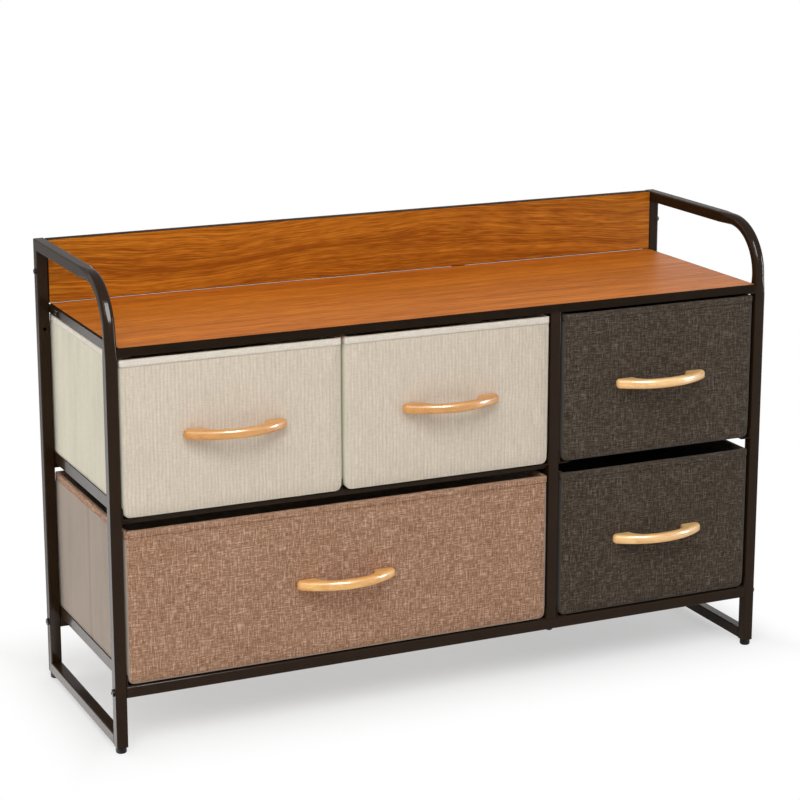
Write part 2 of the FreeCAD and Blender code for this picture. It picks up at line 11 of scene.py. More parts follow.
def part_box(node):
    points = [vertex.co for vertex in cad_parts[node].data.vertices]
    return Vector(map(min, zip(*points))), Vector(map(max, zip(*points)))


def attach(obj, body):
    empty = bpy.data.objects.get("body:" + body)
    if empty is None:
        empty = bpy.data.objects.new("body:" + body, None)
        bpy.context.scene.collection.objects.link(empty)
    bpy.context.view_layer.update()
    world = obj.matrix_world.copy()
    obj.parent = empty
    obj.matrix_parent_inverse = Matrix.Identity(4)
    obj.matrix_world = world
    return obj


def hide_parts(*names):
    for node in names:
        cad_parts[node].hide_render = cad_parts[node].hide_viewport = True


bl_info = {
    "name": "Fabric drawer dresser",
    "version": (1, 0, 0),
    "blender": (4, 5, 0),
    "location": "View3D > Sidebar > Dresser",
    "description": "Dresses the packed frame of a five-drawer dresser in steel, wood grain and sewn cloth",
    "category": "Object",
}

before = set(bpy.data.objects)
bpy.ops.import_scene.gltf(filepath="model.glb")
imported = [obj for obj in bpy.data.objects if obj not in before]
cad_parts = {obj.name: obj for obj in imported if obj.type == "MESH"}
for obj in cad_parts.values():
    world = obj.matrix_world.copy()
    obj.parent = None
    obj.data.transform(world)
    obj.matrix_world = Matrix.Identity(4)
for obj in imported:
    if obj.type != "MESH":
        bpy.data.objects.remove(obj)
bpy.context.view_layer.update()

CLOTH_MAP = "cloth"
NEAR = 1e-5
X_AXIS, Y_AXIS, Z_AXIS = range(3)

# The two axes of the cloth map on a face that looks along X, Y or Z
MAP_AXES = ((Y_AXIS, Z_AXIS), (X_AXIS, Z_AXIS), (X_AXIS, Y_AXIS))

# Which cloth each drawer is sewn from
DRAWER_CLOTH = {
    "upper_left": "beige",
    "upper_middle": "beige",
    "upper_right": "charcoal",
    "lower_wide": "tan",
    "lower_right": "charcoal",
}

# How the woven cloths show: the strength of their warp, weft, ribs and long pale threads, the pitch of their
# ribs in metres, the contrast between their yarns, and the share of colour that pale yarns keep
WEAVES = {
    "beige": {"slubs": (0.38, 0.42, 1.15, 0.0), "rib_pitch": 0.0052, "contrast": 0.28, "warmth": 0.7},
    "tan": {"slubs": (0.78, 0.78, 0.2, 0.13), "rib_pitch": 0.006, "contrast": 1.27, "warmth": 0.6},
    "charcoal": {"slubs": (0.78, 0.86, 0.2, 0.13), "rib_pitch": 0.006, "contrast": 2.3, "warmth": 0.75},
    "beige_hem": {"slubs": (0.35, 0.9, 0.3, 0.0), "rib_pitch": 0.0046, "contrast": 0.18, "warmth": 0.7},
}
YARN_PITCH = 0.0011
FELT_POINT_PITCH = 0.0021
LONG_THREADS = (0.54, 0.70)
LONG_THREAD_LIFT = 0.7
DARK_YARN = 1.1

# Red, green and blue shares of a wood's colour in its dark and pale grain
DARK_GRAIN = (0.66, 0.54, 0.36)
PALE_GRAIN = (1.32, 1.48, 2.00)
RED_GRAIN = (0.86, 0.66, 0.45)

# Middle value of a noise, and the sockets of a colour Mix node, whose names repeat for each kind of data
NOISE_MIDDLE = 0.5
MIX_SHARE, MIX_FIRST, MIX_SECOND = (0, 6, 7)
MIX_RESULT = 2

# Places of the front and side cloth in the outer cloth's list of materials
FRONT_CLOTH, SIDE_CLOTH = range(2)

# Swell of the front cloth: its roundness, its ripples, and the reach of the handle's pads in metres
SWELL_POWER = 0.7
SWELL_RIPPLE = 0.45
SWELL_RIPPLE_CELLS = 17
SWELL_RIPPLE_RISE = 3
PAD_REACH = 0.022

# Slack of the side cloth in metres, its noise cells per metre, and how fast it fades at the hem and the floor
SIDE_SLACK = 0.0005
SIDE_RIPPLE = 0.0005
SIDE_CELLS = (3, 26, 7)
SIDE_SLANT = 9
HEM_FADE = 12
FLOOR_FADE = 14

# What counts as the front: normals whose Y is below a value, and faces within a share of the soft edge
FRONT_FACING = -0.2
FRONT_SHARE = 0.06

# Seam round the front: its groove and ridge in shares of the soft edge, and their depths in metres
GROOVE_START = 0.02
GROOVE_END = 0.18
RIDGE_END = 0.5
GROOVE_DEPTH = 0.00055
RIDGE_HEIGHT = 0.0002

# Cuts that let the cloth bend: segments of rounded edges, room left at edges and steps in metres, and cuts
# beside a fold line in crease widths
CORNER_SEGMENTS = 6
FACE_EDGE_SEGMENTS = 4
LINING_SEGMENTS = 3
HEM_CORNER_SEGMENTS = 5
CREST_SEGMENTS = 3
EDGE_ROOM = 0.01
SEAM_ROOM = 0.004
HEM_ROOM = 0.006
CREST_ROOM = 0.0018
FACE_STEP = 0.009
DEPTH_STEP = 0.013
LINING_STEP = 0.02
HEM_STEP = 0.012
HEM_RISE = 0.0028
FOLD_CUTS = (-2.2, -1.2, -0.6, 0, 0.6, 1.2, 2.2)
LINING_FOLD_CUTS = (-2.2, -1.0, 0, 1.0, 2.2)

# Lining: how far it clears the base board, and its slack and fold line in metres
LINING_CLEARANCE = 0.0002
LINING_SLACK = 0.0006
LINING_SLACK_START = 0.6
LINING_CELLS = 14
LINING_CREASE = 0.0006

# Hem: inner leg and stitch level in shares of its height, a crest's turn in radians, and lengths in metres
HEM_INNER_LEG = 1.1
STITCH_LEVEL = 0.78
LEVEL_FACE = 0.9
CREST_TURN = 1.0
CREST_RADIUS = 0.0016
TUCK_HEIGHT = 0.002
TUCK_DEPTH = 0.00035
HEM_RIPPLE = 0.00022
HEM_CELLS = 24
STITCH_DEPTH = 0.00055
STITCH_HEIGHT = 0.0006
STITCH_SIDES = 6
STITCH_RINGS = 4

# Studio floor: its size, and the middle, near and far distances where its shadow gives way to white
FLOOR_RADIUS = 30.0
FLOOR_SEGMENTS = 96
WHITE_ACROSS = (0.0, 0.47, 0.60)
WHITE_ALONG = (0.08, 0.10, 0.33)

# Soft lamps: name, setting of the power, place, aim, and width and height in metres
LAMPS = (
    ("key_lamp", "key_power", (-1.1, -2.0, 2.6), (0, 0, 0.35), (2.2, 1.6)),
    ("side_lamp", "side_power", (-2.0, 1.2, 0.9), (-0.4, 0, 0.3), (1.6, 1.4)),
    ("back_lamp", "back_power", (1.4, 2.3, 0.5), (0.1, 0.1, 0.4), (2.0, 0.8)),
)

# Strips that show only in gloss: name, place, aim, and width and height in metres
STRIPS = (
    ("upper_strip", (0.2, -2.2, 2.4), (0, 0, 0.4), (0.9, 1.8)),
    ("right_strip", (2.2, -1.1, 0.6), (0, 0, 0.5), (0.40, 1.2)),
)

# Card that lies on the floor face up at the left rear
FLOOR_CARD_PLACE = (-0.874, 1.137, 0.002)
FLOOR_CARD_TURN = (math.radians(180), 0.0, math.radians(16.5))
FLOOR_CARD_SIZE = (0.17, 2.67)
SENSOR_WIDTH = 36.0


def paint(red, green, blue):
    """A colour chart value from 0 to 255 as the linear colour that Blender's sockets hold."""
    linear = []
    for value in (red, green, blue):
        share = value / 255
        linear.append(share / 12.92 if share <= 0.04045 else ((share + 0.055) / 1.055) ** 2.4)
    return tuple(linear)


def colour_setting(name, words, value):
    return FloatVectorProperty(
        name=name, description=words, subtype="COLOR", size=3, min=0.0, max=1.0, default=value
    )


def length_setting(name, words, value):
    return FloatProperty(
        name=name, description=words, subtype="DISTANCE", unit="LENGTH", min=0.0, default=value
    )


def power_setting(name, words, value):
    return FloatProperty(name=name, description=words, unit="POWER", min=0.0, default=value)


def level_setting(name, words, value):
    return FloatProperty(name=name, description=words, min=0.0, default=value)


def share_setting(name, words, value):
    return FloatProperty(name=name, description=words, subtype="FACTOR", min=0.0, max=1.0, default=value)


def angle_setting(name, words, degrees):
    return FloatProperty(name=name, description=words, subtype="ANGLE", default=math.radians(degrees))


class DresserSizes(bpy.types.PropertyGroup):
    """Sizes of the sewn cloth and of the small hardware."""

    cloth_thickness: length_setting("Cloth", "Thickness of the outer cloth", 0.001)
    lining_thickness: length_setting("Lining", "Thickness of the lining", 0.0005)
    lining_inset: length_setting("Lining inset", "Outer cloth's face to the lining's face", 0.0043)
    hem_proud: length_setting("Hem proud", "How far the hem stands out from the cloth", 0.001)
    hem_height: length_setting("Hem height", "Height of the folded hem", 0.010)
    hem_thickness: length_setting("Hem cloth", "Thickness of the hem strip", 0.0008)
    lower_corner: length_setting("Lower corners", "Radius of a drawer front's lower corners", 0.009)
    soft_edge: length_setting("Soft edge", "Radius round a drawer's front", 0.003)
    back_edge: length_setting("Back edge", "Radius round a drawer's back", 0.001)
    front_swell: length_setting("Front swell", "How far the front cloth swells at its middle", 0.0008)
    side_fullness: length_setting("Side fullness", "How far side and back cloth stand off boards", 0.0012)
    side_room: length_setting("Side room", "The most that the side cloth may stand out", 0.0013)
    crease_depth: length_setting("Crease depth", "Depth of the fold line in a drawer's side", 0.0017)
    crease_width: length_setting("Crease width", "Half width of the fold line", 0.0034)
    stitch_length: length_setting("Stitch", "Length of one stitch", 0.0042)
    stitch_pitch: length_setting("Stitch pitch", "From one stitch to the next", 0.0054)
    screw_spacing: length_setting("Handle screws", "Distance between a handle's two screws", 0.116)


class DresserColours(bpy.types.PropertyGroup):
    """Colours of the finishes."""

    steel: colour_setting("Steel", "Powder coat on the tubes and angles", paint(41, 27, 14))
    wood: colour_setting("Wood", "Wood grain on the top board", paint(194, 108, 26))
    back_wood: colour_setting("Back wood", "Wood grain on the back board", paint(181, 105, 20))
    edging: colour_setting("Edging", "Edge band of the boards", paint(34, 25, 17))
    plastic: colour_setting("Plastic", "Foot plugs and tube inserts", paint(24, 23, 22))
    bolt: colour_setting("Bolts", "Blackened bolts", paint(26, 25, 25))
    screw: colour_setting("Screws", "Zinc on the handle screws", paint(176, 176, 172))
    beige: colour_setting("Beige front", "Ribbed cloth on two upper drawers", paint(212, 198, 180))
    beige_side: colour_setting("Beige side", "Felted sides of those drawers", paint(212, 206, 186))
    beige_hem: colour_setting("Beige hem", "Hems of those drawers", paint(222, 213, 199))
    tan: colour_setting("Tan front", "Slub cloth on the wide drawer", paint(160, 121, 94))
    tan_side: colour_setting("Tan side", "Felted sides of that drawer", paint(162, 147, 134))
    charcoal: colour_setting("Charcoal front", "Cloth on the two right drawers", paint(67, 57, 47))
    charcoal_side: colour_setting("Charcoal side", "Felted sides of those drawers", paint(70, 65, 60))
    handle: colour_setting("Handle wood", "Handles of the two beige drawers", paint(216, 155, 84))
    # The wide drawer's handle is the beige drawers' handle wood painted lighter: painted light for the lower
    # drawer, which the lamps light less
    wide_handle: colour_setting("Wide handle", "Handle of the wide drawer", paint(243, 186, 110))
    # The right drawers' handles are paler wood, painted paler still: partly their own colour and partly
    # painted light, as the lamps at the left light them less
    pale_handle: colour_setting("Pale handle", "Handles of the two right drawers", paint(255, 206, 139))
    card: colour_setting("Board", "Grey board inside the cloth", paint(122, 112, 100))
    floor: colour_setting("Floor", "Pale studio floor", paint(244, 244, 243))


class DresserStage(bpy.types.PropertyGroup):
    """Light levels and the camera."""

    sky: level_setting("Sky", "Even light from all round", 0.50)
    key_power: power_setting("Key lamp", "Large soft lamp in front", 50.0)
    side_power: power_setting("Side lamp", "Soft lamp at the left", 12.0)
    back_power: power_setting("Back lamp", "Soft lamp behind", 16.0)
    floor_card: level_setting("Floor card", "Brightness of the card at the left", 3.6)
    strip_card: level_setting("Strip cards", "Brightness of the strips", 40.0)
    white_share: share_setting("Floor white", "Share of the floor that shows plain white", 0.46)
    lens: FloatProperty(name="Lens", description="Focal length", unit="CAMERA", default=105.228)
    shift: FloatProperty(name="Shift", description="Vertical shift of the lens", default=-0.05)
    turn: angle_setting("Turn", "Camera's turn to the right", 24.753)
    dip: angle_setting("Dip", "Camera's dip below the horizon", 13.591)
    place: FloatVectorProperty(
        name="Place",
        description="Camera's place",
        subtype="TRANSLATION",
        size=3,
        default=(-1.37619, -2.94371, 1.24677),
    )


# Shader helpers


def shade(colour, amount):
    """A linear colour made lighter or darker, with the alpha that a socket wants."""
    return (*[min(1.0, value * amount) for value in colour], 1.0)


def shades(colour, stops):
    """Ramp stops of one colour, from pairs of a place and an amount of light."""
    return [(place, shade(colour, amount)) for place, amount in stops]


def tinted(colour, shares):
    """A linear colour with each channel times its own share, with alpha."""
    return (*[value * share for value, share in zip(colour, shares)], 1.0)


def white_shades(stops):
    """Ramp stops of greys up to white."""
    return shades((1, 1, 1), stops)


def alike(cells):
    """The same number of noise cells per metre along each axis."""
    return (cells, cells, cells)


def along_x(along, across):
    """Noise cells per metre for wood whose grain runs along X."""
    return (along, across, across)


def on_cloth(across, up):
    """Noise cells per metre across and up the cloth map."""
    return (across, up, 1)


def add_node(tree, kind, inputs=None, **settings):
    """A shader node with its settings, and with values or links on its sockets."""
    node = tree.nodes.new(kind)
    for name, value in settings.items():
        setattr(node, name, value)
    for name, value in (inputs or {}).items():
        if isinstance(value, bpy.types.NodeSocket):
            tree.links.new(value, node.inputs[name])
        else:
            node.inputs[name].default_value = value
    return node


def empty_tree(owner):
    """The node tree of a material or a world, with nothing in it."""
    owner.use_nodes = True
    owner.node_tree.nodes.clear()
    return owner.node_tree


def start_finish(name, **values):
    """A new material with one Principled shader, whose plain values are set on its own sockets."""
    material = bpy.data.materials.new(name)
    tree = empty_tree(material)
    shader = add_node(tree, "ShaderNodeBsdfPrincipled")
    for socket, value in values.items():
        shader.inputs[socket.replace("_", " ")].default_value = value
    add_node(tree, "ShaderNodeOutputMaterial", {"Surface": shader.outputs["BSDF"]})
    return material, tree, shader


def object_place(tree):
    return add_node(tree, "ShaderNodeTexCoord").outputs["Object"]


def cloth_place(tree):
    return add_node(tree, "ShaderNodeUVMap", uv_map=CLOTH_MAP).outputs["UV"]


def split(tree, vector):
    """The X, Y and Z of a vector."""
    return add_node(tree, "ShaderNodeSeparateXYZ", {"Vector": vector}).outputs


def grain(tree, place, cells, detail=2.0, roughness=0.5, distortion=0.0):
    """Noise with its own number of cells per metre along each axis."""
    stretched = add_node(tree, "ShaderNodeMapping", {"Vector": place, "Scale": cells})
    texture = add_node(
        tree,
        "ShaderNodeTexNoise",
        {
            "Vector": stretched.outputs["Vector"],
            "Scale": 1.0,
            "Detail": detail,
            "Roughness": roughness,
            "Distortion": distortion,
        },
    )
    return texture.outputs["Fac"]


def worked(tree, operation, *values):
    """The result of a Math node."""
    return add_node(tree, "ShaderNodeMath", dict(enumerate(values)), operation=operation).outputs[0]


def weighted(tree, parts, start=NOISE_MIDDLE):
    """A start value plus each noise's distance from its middle, times its weight."""
    total = start
    for value, weight in parts:
        centred = worked(tree, "SUBTRACT", value, NOISE_MIDDLE)
        total = worked(tree, "ADD", worked(tree, "MULTIPLY", centred, weight), total)
    return total


def wave(tree, value, pitch):
    """A sine wave over a distance, at a pitch in metres."""
    return worked(tree, "SINE", worked(tree, "MULTIPLY", value, math.tau / pitch))


def ramp(tree, factor, stops):
    """A colour ramp over (place, colour) stops."""
    node = add_node(tree, "ShaderNodeValToRGB", {"Fac": factor})
    elements = node.color_ramp.elements
    for index, (place, colour) in enumerate(stops):
        element = elements[index] if index < 2 else elements.new(place)
        element.position = place
        element.color = colour
    return node.outputs["Color"]


def multiplied(tree, share, first, second):
    """One colour times a share of another."""
    inputs = {MIX_SHARE: share, MIX_FIRST: first, MIX_SECOND: second}
    node = add_node(tree, "ShaderNodeMix", inputs, data_type="RGBA", blend_type="MULTIPLY")
    return node.outputs[MIX_RESULT]


def spread(tree, factor, low, high):
    """A value from 0 to 1 carried over to another range."""
    node = add_node(tree, "ShaderNodeMapRange", {"Value": factor, "To Min": low, "To Max": high})
    return node.outputs["Result"]


def crisp(tree, value, low, high):
    """0 up to a low value and 1 from a high one."""
    limits = {"Value": value, "From Min": low, "From Max": high}
    return add_node(tree, "ShaderNodeMapRange", limits, interpolation_type="SMOOTHSTEP").outputs["Result"]


def bumped(tree, shader, layers):
    """Bump layers of (height, strength, distance in metres), one on the other."""
    normal = None
    for height, strength, distance in layers:
        inputs = {"Height": height, "Strength": strength, "Distance": distance}
        node = add_node(tree, "ShaderNodeBump", inputs)
        if normal is not None:
            tree.links.new(normal, node.inputs["Normal"])
        normal = node.outputs["Normal"]
    tree.links.new(normal, shader.inputs["Normal"])


def finish_with(tree, shader, colour, pattern, smooth, rough):
    """Links the colour, and a roughness that follows a pattern from smooth to rough."""
    tree.links.new(colour, shader.inputs["Base Color"])
    tree.links.new(spread(tree, pattern, smooth, rough), shader.inputs["Roughness"])


# Finishes


def powder_coat(name, colour):
    """Glossy dark powder coat with a fine orange peel and faint rubbed places."""
    material, tree, shader = start_finish(
        name, Specular_IOR_Level=0.01, Coat_Weight=0.2, Coat_Roughness=0.12
    )
    place = object_place(tree)
    peel = grain(tree, place, alike(900))
    cloud = grain(tree, place, alike(26), detail=4.0, roughness=0.6)
    rubbed = grain(tree, place, alike(150), detail=5.0, roughness=0.7)
    tone = weighted(tree, ((cloud, 0.9), (rubbed, 0.35)))
    coat = ramp(tree, tone, shades(colour, ((0.2, 0.78), (0.55, 1.0), (0.85, 1.35))))
    finish_with(tree, shader, coat, cloud, smooth=0.40, rough=0.56)
    bumped(tree, shader, ((peel, 0.12, 0.00008), (cloud, 0.04, 0.0004)))
    return material


def wood_grain(name, colour, flat, figure, contrast, gloss):
    """Wood-grain laminate along X; flat is the board's other axis and figure how far its lines sway."""
    material, tree, shader = start_finish(name, Specular_IOR_Level=gloss)
    place = object_place(tree)
    sway = grain(tree, place, along_x(3.2, 11), roughness=0.45)
    lean = grain(tree, place, along_x(0.9, 3.0), detail=1.0)
    pushed = weighted(tree, ((sway, figure), (lean, figure * 1.6)), start=0.0)
    push = add_node(tree, "ShaderNodeCombineXYZ", {flat: pushed})
    bent = add_node(tree, "ShaderNodeVectorMath", {0: place, 1: push.outputs[0]}, operation="ADD").outputs[0]
    bands = grain(tree, bent, along_x(0.8, 40))
    lines = grain(tree, bent, along_x(3.0, 370), detail=3.0, roughness=0.6)
    streaks = grain(tree, bent, along_x(26.0, 540), roughness=0.6)
    fibres = grain(tree, bent, along_x(24.0, 1300), roughness=0.6)
    pores = grain(tree, bent, along_x(34.0, 560), detail=1.0)
    shares = ((bands, 0.7), (lines, 1.0), (streaks, 1.1), (fibres, 0.5))
    tone = weighted(tree, [(pattern, share * contrast) for pattern, share in shares])
    stops = (
        (0.10, tinted(colour, DARK_GRAIN)),
        (0.42, shade(colour, 0.92)),
        (0.60, shade(colour, 1.05)),
        (0.92, tinted(colour, PALE_GRAIN)),
    )
    pitted = ramp(tree, pores, white_shades(((0.28, 0.66), (0.40, 1.0))))
    surface = multiplied(tree, 0.7, ramp(tree, tone, stops), pitted)
    finish_with(tree, shader, surface, lines, smooth=0.42, rough=0.58)
    bumped(tree, shader, ((fibres, 0.10, 0.00010), (pores, 0.08, 0.00008)))
    return material


def edge_banding(name, colour):
    """Near-black edge band with a faint pressed grain along it."""
    material, tree, shader = start_finish(name, Specular_IOR_Level=0.015)
    place = object_place(tree)
    lines = grain(tree, place, (8, 60, 700), detail=3.0, roughness=0.6)
    cloud = grain(tree, place, alike(30), detail=3.0)
    tone = weighted(tree, ((lines, 0.8), (cloud, 0.5)))
    band = ramp(tree, tone, shades(colour, ((0.2, 0.75), (0.8, 1.3))))
    finish_with(tree, shader, band, cloud, smooth=0.42, rough=0.60)
    bumped(tree, shader, ((lines, 0.12, 0.00008),))
    return material


def moulded_plastic(name, colour):
    """Moulded plastic with a fine spark-eroded grain."""
    material, tree, shader = start_finish(name, Specular_IOR_Level=0.12)
    place = object_place(tree)
    sparks = grain(tree, place, alike(1600), roughness=0.6)
    cloud = grain(tree, place, alike(70), detail=3.0)
    body = ramp(tree, cloud, shades(colour, ((0.3, 0.85), (0.7, 1.2))))
    finish_with(tree, shader, body, cloud, smooth=0.42, rough=0.62)
    bumped(tree, shader, ((sparks, 0.25, 0.00006),))
    return material


def hardware(name, colour, metal, gloss):
    """Bolt or screw metal with a slightly cloudy plating and a fine grain."""
    material, tree, shader = start_finish(name, Metallic=metal, Specular_IOR_Level=gloss)
    place = object_place(tree)
    cloud = grain(tree, place, alike(420), detail=4.0, roughness=0.6)
    fine = grain(tree, place, alike(2600))
    body = ramp(tree, cloud, shades(colour, ((0.25, 0.75), (0.75, 1.25))))
    finish_with(tree, shader, body, cloud, smooth=0.26, rough=0.44)
    bumped(tree, shader, ((fine, 0.12, 0.00003),))
    return material


def lacquered_wood(name, colour):
    """Pale close-grained wood under clear lacquer, its grain along X."""
    material, tree, shader = start_finish(
        name, Specular_IOR_Level=0.4, Coat_Weight=0.6, Coat_Roughness=0.15
    )
    place = object_place(tree)
    bands = grain(tree, place, along_x(5, 120), detail=3.0, roughness=0.55, distortion=0.4)
    lines = grain(tree, place, along_x(16, 620), detail=4.0, roughness=0.6)
    flecks = grain(tree, place, along_x(90, 1500), detail=1.0)
    tone = weighted(tree, ((bands, 1.1), (lines, 0.8)))
    stops = ((0.18, tinted(colour, RED_GRAIN)), (0.52, shade(colour, 1.0)), (0.86, shade(colour, 1.14)))
    flecked = ramp(tree, flecks, white_shades(((0.30, 0.80), (0.40, 1.0))))
    surface = multiplied(tree, 0.55, ramp(tree, tone, stops), flecked)
    finish_with(tree, shader, surface, bands, smooth=0.26, rough=0.40)
    bumped(tree, shader, ((lines, 0.06, 0.00006),))
    return material


def grey_board(name, colour):
    """Pressed grey board with loose fibres."""
    material, tree, shader = start_finish(name, Specular_IOR_Level=0.2)
    place = object_place(tree)
    fibres = grain(tree, place, (240, 60, 240), detail=5.0, roughness=0.7, distortion=0.8)
    cloud = grain(tree, place, alike(22), detail=3.0)
    tone = weighted(tree, ((fibres, 0.8), (cloud, 0.7)))
    body = ramp(tree, tone, shades(colour, ((0.2, 0.72), (0.8, 1.25))))
    finish_with(tree, shader, body, cloud, smooth=0.78, rough=0.92)
    bumped(tree, shader, ((fibres, 0.25, 0.0001),))
    return material


def yarn_waves(tree, place, pitch):
    """The over and under of a plain weave, from 0.5 to 1, at a yarn pitch in metres."""
    parts = split(tree, place)
    product = worked(tree, "MULTIPLY", wave(tree, parts["X"], pitch), wave(tree, parts["Y"], pitch))
    return spread(tree, product, 0.5, 1.0)


def rib_waves(tree, place, pitch):
    """Upright ribs from 0 to 1 at a pitch in metres, a little uneven."""
    wobble = weighted(tree, ((grain(tree, place, on_cloth(60, 30)), pitch),), start=0.0)
    across = worked(tree, "ADD", split(tree, place)["X"], wobble)
    ribs = wave(tree, across, pitch)
    return add_node(tree, "ShaderNodeMapRange", {"Value": ribs, "From Min": -1.0}).outputs["Result"]


def woven_cloth(name, colour, slubs, rib_pitch, contrast, warmth):
    """Linen-look cloth; slubs holds how strongly its warp, weft, ribs and long pale threads show."""
    material, tree, shader = start_finish(
        name, Specular_IOR_Level=0.05, Sheen_Weight=0.08, Sheen_Roughness=0.45
    )
    place = cloth_place(tree)
    warp, weft, rib, strand = slubs
    upright = grain(tree, place, on_cloth(620, 75), roughness=0.55)
    level = grain(tree, place, on_cloth(82, 620), roughness=0.55)
    fine_upright = grain(tree, place, on_cloth(1000, 150), roughness=0.6)
    fine_level = grain(tree, place, on_cloth(150, 1000), roughness=0.6)
    ribs = grain(tree, place, on_cloth(2 / rib_pitch, 24), roughness=0.6)
    even_ribs = rib_waves(tree, place, rib_pitch)
    long_upright = crisp(tree, grain(tree, place, on_cloth(520, 30), detail=1.0), *LONG_THREADS)
    long_level = crisp(tree, grain(tree, place, on_cloth(33, 520), detail=1.0), *LONG_THREADS)
    cloud = grain(tree, place, on_cloth(13, 13))
    weave = yarn_waves(tree, place, YARN_PITCH)
    parts = (
        (upright, warp),
        (level, weft),
        (fine_upright, warp * 0.7),
        (fine_level, weft * 0.7),
        (ribs, rib * 0.5),
        (even_ribs, rib * 0.15),
        (long_upright, strand),
        (long_level, strand),
        (cloud, 0.12),
        (weave, 0.16),
    )
    tone = weighted(tree, parts, start=NOISE_MIDDLE + strand * LONG_THREAD_LIFT)
    grey = sum(colour) / 3
    pale = [(value * warmth + grey * (1 - warmth)) * (1 + contrast) for value in colour]
    dark = [value / (1 + contrast * DARK_YARN) for value in colour]
    stops = ((0.12, shade(dark, 1.0)), (0.50, shade(colour, 1.0)), (0.88, shade(pale, 1.0)))
    finish_with(tree, shader, ramp(tree, tone, stops), fine_level, smooth=0.82, rough=0.96)
    yarns = ((weave, 0.35, 0.00018), (upright, 0.25 * warp, 0.0002), (level, 0.25 * weft, 0.0002))
    bumped(tree, shader, yarns)
    return material


def felted_cloth(name, colour, place_of=cloth_place):
    """Non-woven cloth with a pressed point pattern and a few loose fibres."""
    material, tree, shader = start_finish(
        name, Specular_IOR_Level=0.05, Sheen_Weight=0.08, Sheen_Roughness=0.5
    )
    place = place_of(tree)
    slant = (0, 0, math.radians(45))
    turned = add_node(tree, "ShaderNodeMapping", {"Vector": place, "Rotation": slant}).outputs["Vector"]
    points = yarn_waves(tree, turned, FELT_POINT_PITCH)
    fibres = grain(tree, place, on_cloth(260, 200), detail=4.0, roughness=0.7, distortion=1.2)
    streaks = grain(tree, place, on_cloth(70, 6))
    cloud = grain(tree, place, on_cloth(11, 7), detail=3.0)
    tone = weighted(tree, ((fibres, 0.5), (cloud, 0.7), (streaks, 0.4), (points, 0.12)))
    body = ramp(tree, tone, shades(colour, ((0.1, 0.78), (0.5, 1.0), (0.9, 1.14))))
    finish_with(tree, shader, body, fibres, smooth=0.82, rough=0.95)
    bumped(tree, shader, ((points, 0.22, 0.00012), (fibres, 0.10, 0.0001)))
    return material


def thread(name, colour):
    """Spun sewing thread."""
    material, tree, shader = start_finish(name, Specular_IOR_Level=0.3, Sheen_Weight=0.15)
    twist = grain(tree, object_place(tree), alike(1700))
    body = ramp(tree, twist, shades(colour, ((0.3, 0.8), (0.7, 1.15))))
    finish_with(tree, shader, body, twist, smooth=0.6, rough=0.8)
    bumped(tree, shader, ((twist, 0.3, 0.0001),))
    return material


def dress_slot(slot, material):
    """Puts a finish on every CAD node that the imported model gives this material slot."""
    found = False
    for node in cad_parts.values():
        for place in node.material_slots:
            if place.material is not None and place.material.name.split(".")[0] == slot:
                place.material = material
                found = True
    if not found:
        raise RuntimeError("no node has the slot " + slot)


def dress_node(name, material):
    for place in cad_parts[name].material_slots:
        place.material = material


# Mesh helpers


def block(low, high):
    """A bmesh block between two corners, to be shaped further."""
    mesh = bmesh.new()
    bmesh.ops.create_cube(mesh, size=1.0)
    bmesh.ops.scale(mesh, vec=high - low, verts=mesh.verts)
    bmesh.ops.translate(mesh, vec=(low + high) / 2, verts=mesh.verts)
    return mesh


def round_edges(mesh, edges, radius, segments):
    bmesh.ops.bevel(
        mesh,
        geom=edges,
        offset=radius,
        offset_type="OFFSET",
        segments=segments,
        profile=0.5,
        affect="EDGES",
        material=-1,
    )
    mesh.normal_update()


def edges_along(mesh, axis):
    """The edges that run along an axis."""
    found = []
    for edge in mesh.edges:
        span = edge.verts[1].co - edge.verts[0].co
        if all(abs(span[other]) < NEAR for other in range(3) if other != axis):
            found.append(edge)
    return found


def at_level(part, axis, level):
    """Whether an edge or a face lies square to an axis at one level."""
    return all(abs(vert.co[axis] - level) < NEAR for vert in part.verts)


def drop_faces(mesh, axis, level):
    """Takes off the faces that lie square to an axis at one level."""
    flat = [face for face in mesh.faces if at_level(face, axis, level)]
    bmesh.ops.delete(mesh, geom=flat, context="FACES")


def evenly(low, high, step):
    """Places between two ends, about a step apart."""
    count = max(2, round((high - low) / step))
    return [low + (high - low) * index / count for index in range(1, count)]


def slice_across(mesh, axis, places):
    """Cuts the mesh square to an axis at each place, which gives cloth the points to bend at."""
    direction = Vector([1.0 if index == axis else 0.0 for index in range(3)])
    for place in places:
        everything = mesh.verts[:] + mesh.edges[:] + mesh.faces[:]
        bmesh.ops.bisect_plane(
            mesh, geom=everything, dist=NEAR / 10, plane_co=direction * place, plane_no=direction
        )
    mesh.normal_update()


def lay_cloth_map(mesh):
    """A map in metres on each side of the box, so that yarns run level and upright everywhere."""
    layer = mesh.loops.layers.uv.new(CLOTH_MAP)
    mesh.normal_update()
    for face in mesh.faces:
        facing = [abs(value) for value in face.normal]
        first, second = MAP_AXES[facing.index(max(facing))]
        for loop in face.loops:
            loop[layer].uv = (loop.vert.co[first], loop.vert.co[second])


def make_piece(name, mesh, materials, body):
    """A finished piece in the scene, riding on its body."""
    data = bpy.data.meshes.new(name)
    mesh.to_mesh(data)
    mesh.free()
    for material in materials:
        data.materials.append(material)
    data.shade_smooth()
    piece = bpy.data.objects.new(name, data)
    bpy.context.scene.collection.objects.link(piece)
    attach(piece, body)
    return piece


def give_thickness(piece, thickness):
    """Thickens cloth inwards from its outer face."""
    wall = piece.modifiers.new("Cloth thickness", "SOLIDIFY")
    wall.thickness = thickness
    wall.offset = -1.0
    wall.use_even_offset = False


# Sewn drawers


